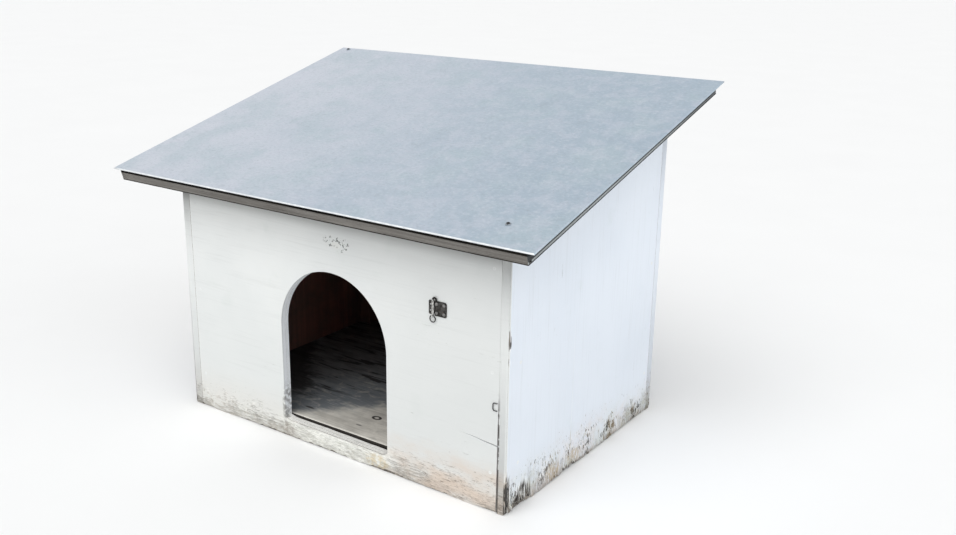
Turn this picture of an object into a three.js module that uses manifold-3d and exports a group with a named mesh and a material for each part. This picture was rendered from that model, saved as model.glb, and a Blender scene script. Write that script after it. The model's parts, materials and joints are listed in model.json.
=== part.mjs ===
// Calf hutch: a plywood box on three bearers, with an arched doorway and a single-pitch sheet-covered roof.
// Millimetres, +Z up, +X to the right of the doorway wall, +Y from the doorway towards the back.
// The origin is on the ground, under the middle of the whole object's box.

import * as THREE from "three";
import { mergeVertices } from "three/addons/utils/BufferGeometryUtils.js";
import Module from "manifold-3d";

const wasm = await Module();
wasm.setup();

// ---- driving dimensions ----

const GAP = 0.3; // clearance between pieces that touch

const WALL_WIDTH = 1000;
const WALL_DEPTH = 706;
const FRONT_HEIGHT = 644; // roof underside above the ground, at the front face
const BACK_HEIGHT = 840; // the same, at the back face
const PLY = 24; // wall panel thickness

const DOOR_WIDTH = 332;
const SILL_HEIGHT = 50;
const DOOR_SPRING_HEIGHT = 296; // where the jambs meet the half-round arch

const BEARER_HEIGHT = 35;
const BEARER_WIDTH = 45;
const BEARER_OFFSET = 440; // outer bearers, from the centre line
const FLOOR_SETBACK = 6; // open slot between the doorway wall and the floor

const BATTEN = 38; // square section of the posts and cleats
const CLEAT_DEPTH = 45; // how far the front and back cleats reach below the wall top

const ROOF_PITCH = Math.atan((BACK_HEIGHT - FRONT_HEIGHT) / WALL_DEPTH);
const DECK_THICKNESS = 30;
const DECK_WIDTH = 1200;
const SHEET_WIDTH = 1238;
const SHEET_THICKNESS = 1.8;
const SHEET_FRONT = -107; // along the slope, from the doorway wall's face
const SHEET_BACK = 786.5;
const SHEET_OVERHANG = { front: 4, back: 7.8 }; // beyond the deck
const HEM_DROP = 2.2; // folded edge, below the sheet's underside
const HEM_WIDTH = 3; // folded edge at the front and back

const HASP_X = 301.5; // hinge axis, from the centre line
const HASP_Z = 425; // lower edge of the plate
const HASP_HEIGHT = 34.5;
const HASP_AXIS_Y = -3.5; // hinge axis, in front of the wall
const HASP_SHEET = 1.7;
const PLATE_REACH = 35.5; // from the hinge axis to the plate's far edge
const PLATE_CORNER = 5;
const LEAF_REACH = 12.5;
const LEAF_FOOT = 1.7; // leaf's lower edge, above the plate's
const LEAF_HEAD = 33.5;
const BARREL_RADIUS = 3.1;
const PIN_RADIUS = 1.4;
const PIN_CLEARANCE = 0.1;
const EYE = { centreY: -4.3, centreZ: 0.75, radius: 2.7, wire: 1.1 };
const RING = { radius: 7.4, wire: 1.1, centreZ: -7.1 };
const KNUCKLES = { lower: [5, 13], middle: [13.4, 24], upper: [24.4, HASP_HEIGHT] };

const WALL_SCREW = { head: 4, headDepth: 3, shank: 2, length: 50 };
const PLATE_SCREW = { head: 3.4, headDepth: 2, shank: 1.6, length: 18 };
const ROOF_SCREW = { shank: 2.1, length: 20, head: 4.6, headHeight: 2.6 };
const WASHER = { outer: 6.5, inner: 2.6, thickness: 1.2 };

const COLOURS = {
  wallPaint: { color: 0xe6e8e6, roughness: 0.75, metalness: 0 },
  innerTimber: { color: 0x8a6b50, roughness: 0.85, metalness: 0 },
  floorTimber: { color: 0x9a9184, roughness: 0.9, metalness: 0 },
  deckTimber: { color: 0x736c66, roughness: 0.85, metalness: 0 },
  roofSheet: { color: 0xb4bfc8, roughness: 0.45, metalness: 0.6 },
  zinc: { color: 0x77787a, roughness: 0.45, metalness: 0.9 },
};

// ---- shared geometry helpers ----

// A closed three.js geometry as a solid that can be joined and cut.
function toSolid(geometry) {
  const bare = geometry.clone();
  bare.deleteAttribute("normal");
  bare.deleteAttribute("uv");
  const merged = mergeVertices(bare, 1e-4);
  return new wasm.Manifold(
    new wasm.Mesh({
      numProp: 3,
      vertProperties: new Float32Array(merged.attributes.position.array),
      triVerts: new Uint32Array(merged.index.array),
    }),
  );
}

// A solid back as a geometry with flat shading.
function toGeometry(solid) {
  const mesh = solid.getMesh();
  const indexed = new THREE.BufferGeometry();
  indexed.setAttribute("position", new THREE.BufferAttribute(mesh.vertProperties, 3));
  indexed.setIndex(new THREE.BufferAttribute(mesh.triVerts, 1));
  const flat = indexed.toNonIndexed();
  flat.computeVertexNormals();
  return flat;
}

// A block between two corners.
function block([x0, y0, z0], [x1, y1, z1]) {
  const box = new THREE.BoxGeometry(x1 - x0, y1 - y0, z1 - z0);
  return box.translate((x0 + x1) / 2, (y0 + y1) / 2, (z0 + z1) / 2);
}

// A turned shape: its axis points along `direction`, and the profile's height 0 lies at `at`.
function turned(profile, segments, at, direction) {
  const points = profile.map(([radius, height]) => new THREE.Vector2(radius, height));
  const turn = new THREE.Quaternion().setFromUnitVectors(new THREE.Vector3(0, 1, 0), direction);
  const lathe = new THREE.LatheGeometry(points, segments);
  return lathe.applyQuaternion(turn).translate(at.x, at.y, at.z);
}

// A round bar or tube along +Z. An inner radius of 0 gives a solid bar.
function upright(outer, inner, z0, z1, x, y, segments) {
  const bar = [[0, z0], [outer, z0], [outer, z1], [0, z1]];
  const tube = [[inner, z0], [outer, z0], [outer, z1], [inner, z1], [inner, z0]];
  return turned(inner > 0 ? tube : bar, segments, new THREE.Vector3(x, y, 0), new THREE.Vector3(0, 0, 1));
}

// A round wire along a smooth open curve through the points.
function wire(points, radius, steps) {
  const sides = 8;
  const section = new THREE.Shape();
  section.absarc(0, 0, radius, 0, 2 * Math.PI, false);
  const route = new THREE.CatmullRomCurve3(points.map((p) => new THREE.Vector3(...p)));
  return new THREE.ExtrudeGeometry(section, {
    steps,
    extrudePath: route,
    curveSegments: sides / 2,
    bevelEnabled: false,
  });
}

// A countersunk screw, its head flush at `at` and facing `outward`. A margin above 0 gives the hole it sits in.
function countersunk(size, at, outward, margin) {
  const { head, headDepth, shank, length } = size;
  const rise = margin > 0 ? 1 : 0;
  const profile = [
    [0, -length - margin],
    [shank * 0.6 + margin, -length + shank - margin],
    [shank + margin, -length + 3 * shank],
    [shank + margin, -headDepth - margin],
    [head + margin, 0],
    [head + margin, rise],
    [0, rise],
  ];
  const unique = margin > 0 ? profile : profile.filter((point, i) => i !== 5);
  return turned(unique, 8, at, outward);
}

// ---- the roof's own frame: x across, y up the slope, z off the walls ----

const roof = new THREE.Group();
roof.position.set(0, 0, FRONT_HEIGHT);
roof.rotation.x = ROOF_PITCH;
roof.updateMatrix();

const DECK_TOP = GAP + DECK_THICKNESS;
const SHEET_FOOT = DECK_TOP + GAP;
const SHEET_TOP = SHEET_FOOT + SHEET_THICKNESS;

// Everything above the roof's underside, to cut wall tops, posts and cleats to the slope.
const aboveRoof = toSolid(block([-700, -200, 0], [700, 1000, 400]).applyMatrix4(roof.matrix));

const underRoof = (geometry) => toSolid(geometry).subtract(aboveRoof);

// ---- walls ----

const HALF = WALL_WIDTH / 2;
const INNER = HALF - PLY; // inside face of the side panels
const BACK_INNER = WALL_DEPTH - PLY; // inside face of the back panel
const TALL = BACK_HEIGHT + 50; // beyond any wall top, before it is cut to the slope

function frontPanel() {
  const half = INNER - GAP;
  const outline = new THREE.Shape();
  outline.moveTo(-half, 0);
  outline.lineTo(half, 0);
  outline.lineTo(half, FRONT_HEIGHT + PLY);
  outline.lineTo(-half, FRONT_HEIGHT + PLY);
  const door = new THREE.Path();
  door.moveTo(-DOOR_WIDTH / 2, SILL_HEIGHT);
  door.lineTo(DOOR_WIDTH / 2, SILL_HEIGHT);
  door.absarc(0, DOOR_SPRING_HEIGHT, DOOR_WIDTH / 2, 0, Math.PI, false);
  outline.holes.push(door);
  const panel = new THREE.ExtrudeGeometry(outline, { depth: PLY, bevelEnabled: false, curveSegments: 36 });
  return underRoof(panel.rotateX(Math.PI / 2).translate(0, PLY, 0));
}

function backPanel() {
  return underRoof(block([-HALF, BACK_INNER, 0], [HALF, WALL_DEPTH, TALL]));
}

function sidePanel(side) {
  const [low, high] = side < 0 ? [-HALF, -INNER] : [INNER, HALF];
  return underRoof(block([low, 0, 0], [high, BACK_INNER - GAP, TALL]));
}

// ---- floor and inner frame ----

const FLOOR_UNDER = BEARER_HEIGHT + GAP;
const POST_OUTER = INNER - GAP;
const POST_INNER = POST_OUTER - BATTEN;
const FRONT_FACE = PLY + GAP; // inside of the doorway wall, with its gap
const BACK_FACE = BACK_INNER - GAP;

function floorPanel() {
  const reach = INNER - GAP;
  return toSolid(block([-reach, PLY + FLOOR_SETBACK, FLOOR_UNDER], [reach, BACK_FACE, SILL_HEIGHT]));
}

function bearer(x) {
  const half = BEARER_WIDTH / 2;
  const outer = Math.min(x + half, INNER - GAP);
  return toSolid(block([x - half, FRONT_FACE, 0], [outer, BACK_FACE, BEARER_HEIGHT]));
}

function cornerPost(side, end) {
  const [x0, x1] = side < 0 ? [-POST_OUTER, -POST_INNER] : [POST_INNER, POST_OUTER];
  const [y0, y1] = end < 0 ? [FRONT_FACE, FRONT_FACE + BATTEN] : [BACK_FACE - BATTEN, BACK_FACE];
  return underRoof(block([x0, y0, SILL_HEIGHT + GAP], [x1, y1, TALL]));
}

function crossCleat(end) {
  const reach = POST_INNER - GAP;
  const [y0, y1] = end < 0 ? [FRONT_FACE, FRONT_FACE + BATTEN] : [BACK_FACE - BATTEN, BACK_FACE];
  const foot = (end < 0 ? FRONT_HEIGHT : BACK_HEIGHT) - CLEAT_DEPTH;
  return underRoof(block([-reach, y0, foot], [reach, y1, TALL]));
}

// Along a side panel under the roof, between the posts.
function slopingCleat(side) {
  const [x0, x1] = side < 0 ? [-POST_OUTER, -POST_INNER] : [POST_INNER, POST_OUTER];
  const postRun = FRONT_FACE + BATTEN + 2;
  const start = postRun / Math.cos(ROOF_PITCH);
  const end = (BACK_FACE - BATTEN - 2 - BATTEN * Math.sin(ROOF_PITCH)) / Math.cos(ROOF_PITCH);
  return toSolid(block([x0, start, -BATTEN], [x1, end, -GAP]).applyMatrix4(roof.matrix));
}

// ---- roof pieces, in the roof's own frame ----

function roofDeck() {
  const half = DECK_WIDTH / 2;
  const front = SHEET_FRONT + SHEET_OVERHANG.front;
  const back = SHEET_BACK - SHEET_OVERHANG.back;
  return toSolid(block([-half, front, GAP], [half, back, DECK_TOP]));
}

// The sheet with its folded edge. It hangs just outside the deck in front, and well outside it on both sides.
function roofSkin() {
  const half = SHEET_WIDTH / 2;
  const inner = half - HEM_WIDTH;
  const foot = SHEET_FOOT - HEM_DROP;
  const full = toSolid(block([-half, SHEET_FRONT, foot], [half, SHEET_BACK, SHEET_TOP]));
  const front = SHEET_FRONT + HEM_WIDTH;
  const back = SHEET_BACK - HEM_WIDTH;
  return full.subtract(toSolid(block([-inner, front, foot - 1], [inner, back, SHEET_FOOT])));
}

// ---- hasp, in its own frame: origin on the wall face at the foot of the hinge axis ----

function haspBarrel([z0, z1]) {
  return toSolid(upright(BARREL_RADIUS, PIN_RADIUS + PIN_CLEARANCE, z0, z1, 0, HASP_AXIS_Y, 16));
}

const haspSheet = (x0, x1, z0, z1) => block([x0, -GAP - HASP_SHEET, z0], [x1, -GAP, z1]);

// The flat of the plate, with its two far corners rounded.
function plateFlat() {
  const outline = new THREE.Shape();
  const far = PLATE_REACH;
  outline.moveTo(0, 0);
  outline.lineTo(far - PLATE_CORNER, 0);
  outline.absarc(far - PLATE_CORNER, PLATE_CORNER, PLATE_CORNER, -Math.PI / 2, 0, false);
  outline.absarc(far - PLATE_CORNER, HASP_HEIGHT - PLATE_CORNER, PLATE_CORNER, 0, Math.PI / 2, false);
  outline.lineTo(0, HASP_HEIGHT);
  const flat = new THREE.ExtrudeGeometry(outline, { depth: HASP_SHEET, bevelEnabled: false, curveSegments: 4 });
  return toSolid(flat.rotateX(Math.PI / 2).translate(0, -GAP, 0));
}

const KNUCKLE_ROOM = BARREL_RADIUS + 0.5; // clear width beside the hinge axis
const pinHole = toSolid(upright(PIN_RADIUS + PIN_CLEARANCE, 0, -5, HASP_HEIGHT + 5, 0, HASP_AXIS_Y, 16));

function haspPlate() {
  const [middleFoot, middleHead] = KNUCKLES.middle;
  const middleRoom = block(
    [-1, -BARREL_RADIUS * 3, middleFoot - 0.4],
    [KNUCKLE_ROOM, 1, middleHead + 0.4],
  );
  const eyeRoom = block([-1, -BARREL_RADIUS * 3, -1], [KNUCKLE_ROOM, 1, KNUCKLES.lower[0]]);
  return plateFlat()
    .subtract(toSolid(middleRoom))
    .subtract(toSolid(eyeRoom))
    .add(haspBarrel(KNUCKLES.lower))
    .add(haspBarrel(KNUCKLES.upper))
    .subtract(pinHole);
}

function haspLeaf() {
  const holeRadius = 2.2;
  const holeX = -8.2;
  const eyeReach = 5.4; // keeps the leaf outside the pin's eye and the ring as it swings
  const back = 1;
  const front = -BARREL_RADIUS * 3;
  const [middleFoot, middleHead] = KNUCKLES.middle;
  let leaf = toSolid(haspSheet(-LEAF_REACH, 0, LEAF_FOOT, LEAF_HEAD));
  leaf = leaf.subtract(toSolid(block([-eyeReach, front, -1], [1, back, KNUCKLES.lower[0]])));
  leaf = leaf.subtract(toSolid(block([-KNUCKLE_ROOM, front, 0], [1, back, middleFoot])));
  leaf = leaf.subtract(toSolid(block([-KNUCKLE_ROOM, front, middleHead], [1, back, HASP_HEIGHT])));
  leaf = leaf.add(haspBarrel(KNUCKLES.middle)).subtract(pinHole);
  for (const z of [10.5, 24.5]) {
    const hole = turned(
      [[0, -3], [holeRadius, -3], [holeRadius, 3], [0, 3]],
      12,
      new THREE.Vector3(holeX, -1, z),
      new THREE.Vector3(0, 1, 0),
    );
    leaf = leaf.subtract(toSolid(hole));
  }
  return leaf;
}

// One bent wire: an eye below the knuckles, a straight shank, and a crook over the top.
function haspPin() {
  const y = HASP_AXIS_Y;
  const crook = 4.5; // bend radius
  const shoulder = HASP_HEIGHT + 2.5; // where the crook starts
  const bend = [0.25, 0.5, 0.75, 1].map((turn) => {
    const angle = Math.PI * (1 - turn);
    return [crook + crook * Math.cos(angle), y, shoulder + crook * Math.sin(angle)];
  });
  const tip = [2 * crook, y, shoulder - 2];
  const route = [[0, y, 3.6], [0, y, 18], [0, y, HASP_HEIGHT - 2], [0, y, shoulder], ...bend, tip];
  const eye = new THREE.TorusGeometry(EYE.radius, EYE.wire, 8, 16);
  eye.rotateY(Math.PI / 2).translate(0, EYE.centreY, EYE.centreZ);
  return toSolid(wire(route, PIN_RADIUS, 22)).add(toSolid(eye));
}

function tetherRing() {
  const ring = new THREE.TorusGeometry(RING.radius, RING.wire, 8, 28);
  return toSolid(ring.rotateX(Math.PI / 2).translate(0, EYE.centreY, RING.centreZ));
}

const plateScrewSpots = [8.5, 28.5].flatMap((x) => [7, 27.5].map((z) => [x, z]));

// ---- small wire staple over the right-hand seam of the doorway wall ----

const STAPLE = { right: 471.5, left: 461.5, low: 245.5, high: 262.5, wire: 1.1, depth: 9, proud: 1.5 };

function seamStaple(margin) {
  const { right, left, low, high, depth, proud } = STAPLE;
  const nose = 4; // rounding at the closed side
  const route = [
    [right, depth + margin, high],
    [right, 1.5, high],
    [right - 1, -proud, high],
    [left + nose, -proud, high],
    [left + 1, -proud, high - 1.5],
    [left, -proud, high - nose - 1],
    [left, -proud, low + nose + 1],
    [left + 1, -proud, low + 1.5],
    [left + nose, -proud, low],
    [right - 1, -proud, low],
    [right, 1.5, low],
    [right, depth + margin, low],
  ];
  return toSolid(wire(route, STAPLE.wire + margin, 36));
}

// ---- fasteners ----

const screws = [];

function addScrew(name, x, y, z, outward, hosts) {
  const at = new THREE.Vector3(x, y, z);
  screws.push({ name, at, outward: new THREE.Vector3(...outward), hosts });
}

const postX = POST_INNER + BATTEN / 2;
const postY = { front: FRONT_FACE + BATTEN / 2, back: BACK_FACE - BATTEN / 2 };
const heights = { front: [95, 330, 560], back: [95, 400, 740] };
const STAGGER = 20; // keeps the screws of two walls apart inside one post

for (const [side, sign] of [["left", -1], ["right", 1]]) {
  for (const [end, z] of Object.entries(heights)) {
    const post = `corner_post_${end}_${side}`;
    z.forEach((height, i) => {
      const wallY = end === "front" ? 0 : WALL_DEPTH;
      const facing = [0, end === "front" ? -1 : 1, 0];
      addScrew(`${end}_screw_${side}_${i + 1}`, sign * postX, wallY, height, facing, [`${end}_panel`, post]);
      const sideHosts = [`side_panel_${side}`, post];
      const name = `side_screw_${side}_${end}_${i + 1}`;
      addScrew(name, sign * HALF, postY[end], height + STAGGER, [sign, 0, 0], sideHosts);
    });
  }
}

// Roof screws stand on washers, in the roof's own frame.
const roofScrewSpots = { front_right: [508, -24], back_left: [-585, 771] };

function roofScrew([x, y]) {
  const { shank, length, head, headHeight } = ROOF_SCREW;
  const profile = [
    [0, -length],
    [shank, -length + 4],
    [shank, 0],
    [head, 0],
    [head * 0.85, headHeight * 0.7],
    [head * 0.4, headHeight],
    [0, headHeight],
  ];
  const seat = SHEET_TOP + WASHER.thickness + 2 * GAP;
  return toSolid(turned(profile, 12, new THREE.Vector3(x, y, seat), new THREE.Vector3(0, 0, 1)));
}

function roofScrewHole([x, y]) {
  const seat = SHEET_TOP + WASHER.thickness;
  return toSolid(upright(ROOF_SCREW.shank + GAP, 0, seat - ROOF_SCREW.length - 1, seat + 5, x, y, 12));
}

function washer([x, y]) {
  const foot = SHEET_TOP + GAP;
  return toSolid(upright(WASHER.outer, WASHER.inner, foot, foot + WASHER.thickness, x, y, 16));
}

// ---- assembly ----

const materials = Object.fromEntries(
  Object.entries(COLOURS).map(([key, look]) => [key, new THREE.MeshStandardMaterial(look)]),
);

function addMesh(group, name, solid, material) {
  const mesh = new THREE.Mesh(toGeometry(solid), materials[material]);
  mesh.name = name;
  group.add(mesh);
}

const wood = {
  front_panel: [frontPanel(), "wallPaint"],
  back_panel: [backPanel(), "wallPaint"],
  side_panel_left: [sidePanel(-1), "wallPaint"],
  side_panel_right: [sidePanel(1), "wallPaint"],
  floor_panel: [floorPanel(), "floorTimber"],
  floor_bearer_left: [bearer(-BEARER_OFFSET), "floorTimber"],
  floor_bearer_middle: [bearer(0), "floorTimber"],
  floor_bearer_right: [bearer(BEARER_OFFSET), "floorTimber"],
  corner_post_front_left: [cornerPost(-1, -1), "innerTimber"],
  corner_post_front_right: [cornerPost(1, -1), "innerTimber"],
  corner_post_back_left: [cornerPost(-1, 1), "innerTimber"],
  corner_post_back_right: [cornerPost(1, 1), "innerTimber"],
  roof_cleat_front: [crossCleat(-1), "innerTimber"],
  roof_cleat_back: [crossCleat(1), "innerTimber"],
  roof_cleat_left: [slopingCleat(-1), "innerTimber"],
  roof_cleat_right: [slopingCleat(1), "innerTimber"],
};

const hutch = new THREE.Group();

for (const { name, at, outward, hosts } of screws) {
  addMesh(hutch, name, toSolid(countersunk(WALL_SCREW, at, outward, 0)), "zinc");
  const hole = toSolid(countersunk(WALL_SCREW, at, outward, GAP));
  for (const host of hosts) wood[host][0] = wood[host][0].subtract(hole);
}

wood.front_panel[0] = wood.front_panel[0].subtract(seamStaple(GAP));
addMesh(hutch, "seam_staple", seamStaple(0), "zinc");

let plate = haspPlate();
const hasp = new THREE.Group();
hasp.position.set(HASP_X, 0, HASP_Z);
plateScrewSpots.forEach(([x, z], i) => {
  const outward = new THREE.Vector3(0, -1, 0);
  const at = new THREE.Vector3(x, -GAP - HASP_SHEET, z);
  const hole = toSolid(countersunk(PLATE_SCREW, at, outward, GAP));
  plate = plate.subtract(hole);
  wood.front_panel[0] = wood.front_panel[0].subtract(hole.translate([HASP_X, 0, HASP_Z]));
  addMesh(hasp, `hasp_screw_${i + 1}`, toSolid(countersunk(PLATE_SCREW, at, outward, 0)), "zinc");
});
addMesh(hasp, "hasp_plate", plate, "zinc");
addMesh(hasp, "hasp_leaf", haspLeaf(), "zinc");
addMesh(hasp, "hasp_pin", haspPin(), "zinc");
addMesh(hasp, "tether_ring", tetherRing(), "zinc");
hutch.add(hasp);

let deck = roofDeck();
let skin = roofSkin();
for (const [place, spot] of Object.entries(roofScrewSpots)) {
  deck = deck.subtract(roofScrewHole(spot));
  skin = skin.subtract(roofScrewHole(spot));
  addMesh(roof, `roof_screw_${place}`, roofScrew(spot), "zinc");
  addMesh(roof, `roof_washer_${place}`, washer(spot), "zinc");
}
addMesh(roof, "roof_deck", deck, "deckTimber");
addMesh(roof, "roof_skin", skin, "roofSheet");
hutch.add(roof);

for (const [name, [solid, material]] of Object.entries(wood)) addMesh(hutch, name, solid, material);

// The origin moves under the middle of the whole object.
hutch.updateMatrixWorld(true);
const extent = new THREE.Box3().setFromObject(hutch, true);
hutch.position.y = -(extent.min.y + extent.max.y) / 2;

export default hutch;
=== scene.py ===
"""Looks for a painted plywood calf hutch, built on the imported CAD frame. Metres, +Z up, doorway at -Y."""

import json
import math
import random

import bmesh
import bpy
from mathutils import Matrix, Vector, noise


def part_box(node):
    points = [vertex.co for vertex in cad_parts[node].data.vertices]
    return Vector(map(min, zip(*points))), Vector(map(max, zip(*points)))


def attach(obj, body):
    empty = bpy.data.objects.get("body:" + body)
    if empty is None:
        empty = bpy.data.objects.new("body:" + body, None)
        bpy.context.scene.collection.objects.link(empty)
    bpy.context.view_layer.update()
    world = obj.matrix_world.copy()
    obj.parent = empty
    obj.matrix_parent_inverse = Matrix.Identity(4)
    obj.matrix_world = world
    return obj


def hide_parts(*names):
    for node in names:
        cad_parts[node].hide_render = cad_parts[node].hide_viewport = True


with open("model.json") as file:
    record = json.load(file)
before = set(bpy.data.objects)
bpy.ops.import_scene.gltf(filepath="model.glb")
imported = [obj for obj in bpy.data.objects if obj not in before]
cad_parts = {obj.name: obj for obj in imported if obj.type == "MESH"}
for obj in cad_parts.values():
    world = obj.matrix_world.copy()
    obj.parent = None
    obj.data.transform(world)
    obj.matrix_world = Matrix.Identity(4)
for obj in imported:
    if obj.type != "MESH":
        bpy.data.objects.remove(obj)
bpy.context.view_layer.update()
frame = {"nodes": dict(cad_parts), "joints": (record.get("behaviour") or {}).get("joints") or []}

# ---------------------------------------------------------------- measures taken from the frame

MM = 0.001
front_low, front_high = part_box("front_panel")
side_low, side_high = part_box("side_panel_right")
left_low, left_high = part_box("side_panel_left")
deck_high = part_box("roof_deck")[1]
back_low, back_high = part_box("back_panel")
floor_low, floor_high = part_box("floor_panel")

FACE_Y = front_low.y
PLY = front_high.y - front_low.y
HALF = side_high.x
REAR_Y = back_high.y


def top_at(node, y):
    """Height of a CAD node's highest vertex on the plane at y."""
    return max(v.co.z for v in frame["nodes"][node].data.vertices if abs(v.co.y - y) < 0.1 * MM)


EAVE_Z = top_at("side_panel_right", FACE_Y)
SLOPE = (top_at("side_panel_right", side_high.y) - EAVE_Z) / (side_high.y - FACE_Y)
PITCH = math.atan(SLOPE)
ROOF = Matrix.Translation((0, FACE_Y, EAVE_Z)) @ Matrix.Rotation(PITCH, 4, "X")


def box_in(node, placement):
    """Lowest and highest corners of a CAD node in the local frame of a placement matrix."""
    inverse = placement.inverted()
    points = [inverse @ v.co for v in frame["nodes"][node].data.vertices]
    low = Vector([min(p[i] for p in points) for i in range(3)])
    high = Vector([max(p[i] for p in points) for i in range(3)])
    return low, high


def roof_z(y):
    """Height of the roof's underside over a point at y."""
    return EAVE_Z + SLOPE * (y - FACE_Y)


# Placement of a board whose local X runs along the wall, local Y up it, and local Z out of it.
FACING_FRONT = Matrix(((1, 0, 0), (0, 0, -1), (0, 1, 0))).to_4x4()
FACING_BACK = Matrix(((-1, 0, 0), (0, 0, 1), (0, 1, 0))).to_4x4()
FACING_RIGHT = Matrix(((0, 0, 1), (1, 0, 0), (0, 1, 0))).to_4x4()
FACING_LEFT = Matrix(((0, 0, -1), (-1, 0, 0), (0, 1, 0))).to_4x4()

# ---------------------------------------------------------------- shader helpers


class Shade:
    """A node material around one Principled shader, with short calls for the nodes used here."""

    def __init__(self, name):
        self.material = bpy.data.materials.new(name)
        self.material.use_nodes = True
        self.tree = self.material.node_tree
        self.tree.nodes.clear()
        self.shader = self.tree.nodes.new("ShaderNodeBsdfPrincipled")
        output = self.tree.nodes.new("ShaderNodeOutputMaterial")
        self.tree.links.new(self.shader.outputs[0], output.inputs[0])
        self.point = self.tree.nodes.new("ShaderNodeTexCoord").outputs["Object"]
        axes = self.tree.nodes.new("ShaderNodeSeparateXYZ")
        self.feed(axes.inputs[0], self.point)
        self.x, self.y, self.z = axes.outputs
        self.colour = None

    def feed(self, socket, value):
        if isinstance(value, bpy.types.NodeSocket):
            self.tree.links.new(value, socket)
        elif isinstance(value, (tuple, list)) and len(value) == 3 and socket.type == "RGBA":
            socket.default_value = (*value, 1)
        else:
            socket.default_value = value

    def done(self, **inputs):
        """Gives the shader its inputs and the colour so far, and returns the material."""
        for name, value in inputs.items():
            self.feed(self.shader.inputs[name.replace("_", " ")], value)
        self.feed(self.shader.inputs["Base Color"], self.colour)
        return self.material

    def math(self, operation, a, b=0.0):
        node = self.tree.nodes.new("ShaderNodeMath")
        node.operation = operation
        self.feed(node.inputs[0], a)
        self.feed(node.inputs[1], b)
        return node.outputs[0]

    def chain(self, operation, values):
        """Folds several values with one operation, from left to right."""
        result = values[0]
        for value in values[1:]:
            result = self.math(operation, result, value)
        return result

    def times(self, *values):
        return self.chain("MULTIPLY", values)

    def plus(self, *values):
        return self.chain("ADD", values)

    def highest(self, *values):
        return self.chain("MAXIMUM", values)

    def stretch(self, scale, offset=(0, 0, 0)):
        """Object coordinates times one number, or one per axis, then moved by an offset."""
        node = self.tree.nodes.new("ShaderNodeMapping")
        node.inputs["Scale"].default_value = (scale,) * 3 if isinstance(scale, (int, float)) else scale
        node.inputs["Location"].default_value = offset
        self.feed(node.inputs["Vector"], self.point)
        return node.outputs[0]

    def noise(self, scale, detail=3, roughness=0.55, offset=(0, 0, 0), distortion=0.0):
        """Fractal noise, 0 to 1. scale is one number, or one per axis, in features per metre."""
        node = self.tree.nodes.new("ShaderNodeTexNoise")
        node.inputs["Scale"].default_value = 1
        node.inputs["Detail"].default_value = detail
        node.inputs["Roughness"].default_value = roughness
        node.inputs["Distortion"].default_value = distortion
        self.feed(node.inputs["Vector"], self.stretch(scale, offset))
        return node.outputs["Fac"]

    def cells(self, scale, offset=(0, 0, 0)):
        node = self.tree.nodes.new("ShaderNodeTexVoronoi")
        node.inputs["Scale"].default_value = 1
        self.feed(node.inputs["Vector"], self.stretch(scale, offset))
        return node.outputs["Distance"]

    def ramp(self, value, low, high):
        """0 below low, 1 above high, smooth between. With low above high it falls instead."""
        node = self.tree.nodes.new("ShaderNodeMapRange")
        node.interpolation_type = "SMOOTHSTEP"
        down = low > high
        node.inputs["From Min"].default_value = min(low, high)
        node.inputs["From Max"].default_value = max(low, high)
        node.inputs["To Min"].default_value = 1 if down else 0
        node.inputs["To Max"].default_value = 0 if down else 1
        self.feed(node.inputs["Value"], value)
        return node.outputs["Result"]

    def mix(self, share, a, b):
        node = self.tree.nodes.new("ShaderNodeMix")
        node.data_type = "RGBA"
        self.feed(node.inputs["Factor"], share)
        self.feed(node.inputs["A"], a)
        self.feed(node.inputs["B"], b)
        return node.outputs["Result"]

    def coat(self, tone, *shares):
        """Lays a tone over the colour so far. The shares multiply."""
        self.colour = self.mix(self.times(*shares), self.colour, tone)

    def near(self, centre, radii):
        """1 at a point, falling to 0 at the given distance along each axis."""
        scale = [1 / r for r in radii]
        moved = self.stretch(scale, [-c * s for c, s in zip(centre, scale)])
        node = self.tree.nodes.new("ShaderNodeVectorMath")
        node.operation = "LENGTH"
        self.feed(node.inputs[0], moved)
        return self.ramp(node.outputs["Value"], 1, 0)

    def spot(self, centre, radii, share):
        """A rounded mark: full where near() is over the share, and fading to 0 at its rim."""
        return self.ramp(self.near(centre, radii), 0.0, share)

    def bump(self, height, distance):
        node = self.tree.nodes.new("ShaderNodeBump")
        node.inputs["Distance"].default_value = distance
        node.inputs["Strength"].default_value = 1.0
        self.feed(node.inputs["Height"], height)
        return node.outputs[0]


def along(letter, fine, coarse=3.0):
    """Noise scale for grain that runs along one axis."""
    return tuple(coarse if axis == letter else fine for axis in "XYZ")


# ---------------------------------------------------------------- materials


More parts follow.
